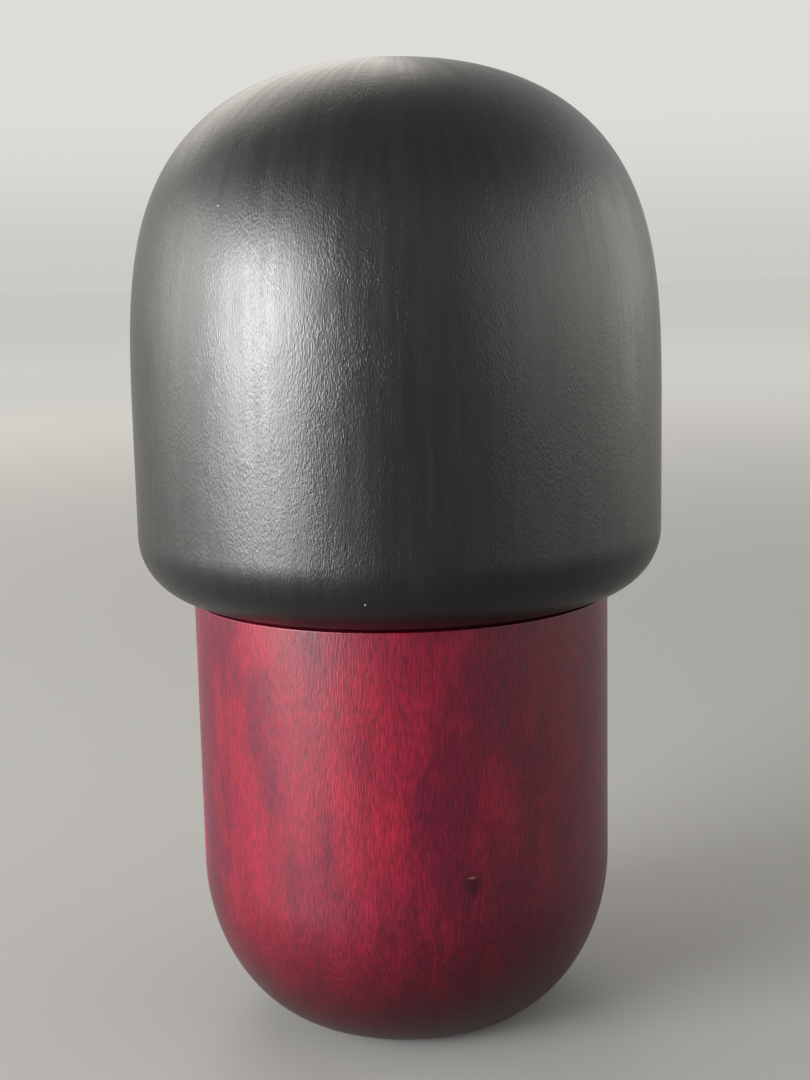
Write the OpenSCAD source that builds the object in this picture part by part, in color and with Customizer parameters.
// Turned wooden doll: a dyed body, a domed black head that turns on a hidden peg, and a pale face let into the head.
// Millimetres. The origin is at the centre of the foot, +Z runs up through the crown, and the face looks along -Y.

/* [Head] */
// Height of the whole doll, from the foot to the crown
doll_h = 180; // [172:1:190]
// Diameter of the head where it is widest
head_d = 98.8; // [94:0.2:106]
// Height of the head's widest ring above the foot
widest_z = 109; // [104:1:116]
// Height of the rounding around the head's lower edge
rim_h = 12.2; // [8:0.1:15]
// Width of the rounding around the head's lower edge
rim_w = 13; // [8:0.5:16]

/* [Body] */
// Height of the body, from the foot to the seat of the head
body_h = 81.8; // [76:0.2:86]
// Diameter of the straight part of the body
body_d = 78.8; // [72:0.2:84]
// Diameter of the flat foot
foot_d = 40; // [32:1:50]
// Height at which the body starts to round in towards the foot
foot_round_h = 30.5; // [20:0.5:38]
// Size of the softened edge around the seat of the head
seat_edge = 0.3; // [0.2:0.1:1.2]

/* [Face] */
// Width of the opening for the face
face_w = 66; // [56:1:68]
// Height of the fringe's lower edge above the seat of the head
fringe_h = 50; // [42:1:54]
// Radius of the opening's two upper corners
fringe_r = 18; // [10:1:24]
// Depth of the face behind the hair
face_set_back = 2.4; // [1:0.2:4]
// Height of the chin above the underside of the hair
chin_lift = 0.4; // [0.2:0.1:2]
// Distance from the doll's axis to the flat floor of the recess
recess_y = 28; // [22:1:30]

/* [Peg] */
// Diameter of the peg that joins the head and the body
peg_d = 16; // [12:1:20]
// Length of the peg that is glued into the body
peg_in_body = 24; // [18:1:30]
// Length of the peg that stands up inside the head
peg_in_head = 26; // [18:1:30]
// Width of the chamfer on both ends of the peg
peg_chamfer = 1.2; // [0.5:0.1:2]
// Radial clearance of the peg in the head
peg_clearance = 0.05; // [0.02:0.01:0.1]

/* [Hidden] */

$fn = 128;
overrun = 1;
// Space under the head, so that it turns without rubbing the dye
seat_gap = 0.2;
// Glue line around the face and behind it
glue_gap = 0.1;
// Air left beyond each end of the peg
peg_air = 1.5;
// Exponents of the head's dome: a higher number is squarer, across and up
dome_across = 2.25;
dome_up = 3.75;
// Exponents of the rounding above the foot
foot_across = 1.7;
foot_up = 2;
dome_steps = 32;
round_steps = 16;

head_r = head_d / 2;
body_r = body_d / 2;
foot_r = foot_d / 2;
peg_r = peg_d / 2;
seat_z = body_h + seat_gap;
dome_h = doll_h - widest_z;
fringe_z = body_h + fringe_h;

// A rounded corner about [r, z], w across and h up, as points from its side (0 degrees) to its end (90 degrees)
function corner(r, z, w, h, across, up, steps) = [
    for (i = [0:steps])
        let (a = 90 * i / steps)
        [r + w * pow(cos(a), 2 / across), z + h * pow(sin(a), 2 / up)]
];

function backwards(points) = [for (i = [len(points) - 1:-1:0]) points[i]];

// Half outline of the head, from the rim's underside up to the crown, moved inwards by inset and up by lift
function head_outline(inset, lift) = concat(
    [[0, seat_z + lift]],
    backwards(corner(head_r - rim_w, seat_z + rim_h, rim_w - inset, lift - rim_h, 2, 2, round_steps)),
    corner(0, widest_z, head_r - inset, dome_h - inset, dome_across, dome_up, dome_steps)
);

// Half outline of the body, from the foot up to the seat of the head
function body_outline() = concat(
    [[0, 0]],
    backwards(corner(foot_r, foot_round_h, body_r - foot_r, -foot_round_h, foot_across, foot_up, round_steps)),
    [[body_r, body_h - seat_edge], [body_r - seat_edge, body_h], [0, body_h]]
);

// Outline of the face opening seen from the front: straight sides, a level fringe and two round corners
module arch(inset) {
    half_w = face_w / 2 - inset;
    top = fringe_z - inset;
    r = fringe_r - inset;
    translate([-half_w, 0])
        square([2 * half_w, top - r]);
    translate([r - half_w, 0])
        square([2 * (half_w - r), top]);
    for (side = [-1, 1])
        translate([side * (half_w - r), top - r])
            circle(r);
}

// The arch as a block that reaches from the recess's floor out through the front of the head
module arch_block(inset) {
    translate([0, -recess_y - inset, 0])
        rotate([90, 0, 0])
            linear_extrude(head_d)
                arch(inset);
}

module body() {
    color("#8c1534")
    difference() {
        rotate_extrude()
            polygon(body_outline());
        translate([0, 0, body_h - peg_in_body - peg_air])
            cylinder(r = peg_r, h = peg_in_body + peg_air + overrun);
    }
}

module neck_peg() {
    peg_z = body_h - peg_in_body;
    peg_l = peg_in_body + peg_in_head;
    color("#c9a877")
    translate([0, 0, peg_z]) {
        cylinder(r1 = peg_r - peg_chamfer, r2 = peg_r, h = peg_chamfer);
        translate([0, 0, peg_chamfer])
            cylinder(r = peg_r, h = peg_l - 2 * peg_chamfer);
        translate([0, 0, peg_l - peg_chamfer])
            cylinder(r1 = peg_r, r2 = peg_r - peg_chamfer, h = peg_chamfer);
    }
}

module head() {
    color("#1d1e1c")
    difference() {
        rotate_extrude()
            polygon(head_outline(0, 0));
        arch_block(0);
        translate([0, 0, seat_z - overrun])
            cylinder(r = peg_r + peg_clearance, h = overrun + peg_in_head - seat_gap + peg_air);
    }
}

module face_inlay() {
    color("#e3c79c")
    intersection() {
        rotate_extrude()
            polygon(head_outline(face_set_back, chin_lift));
        arch_block(glue_gap);
    }
}

body();
neck_peg();
head();
face_inlay();
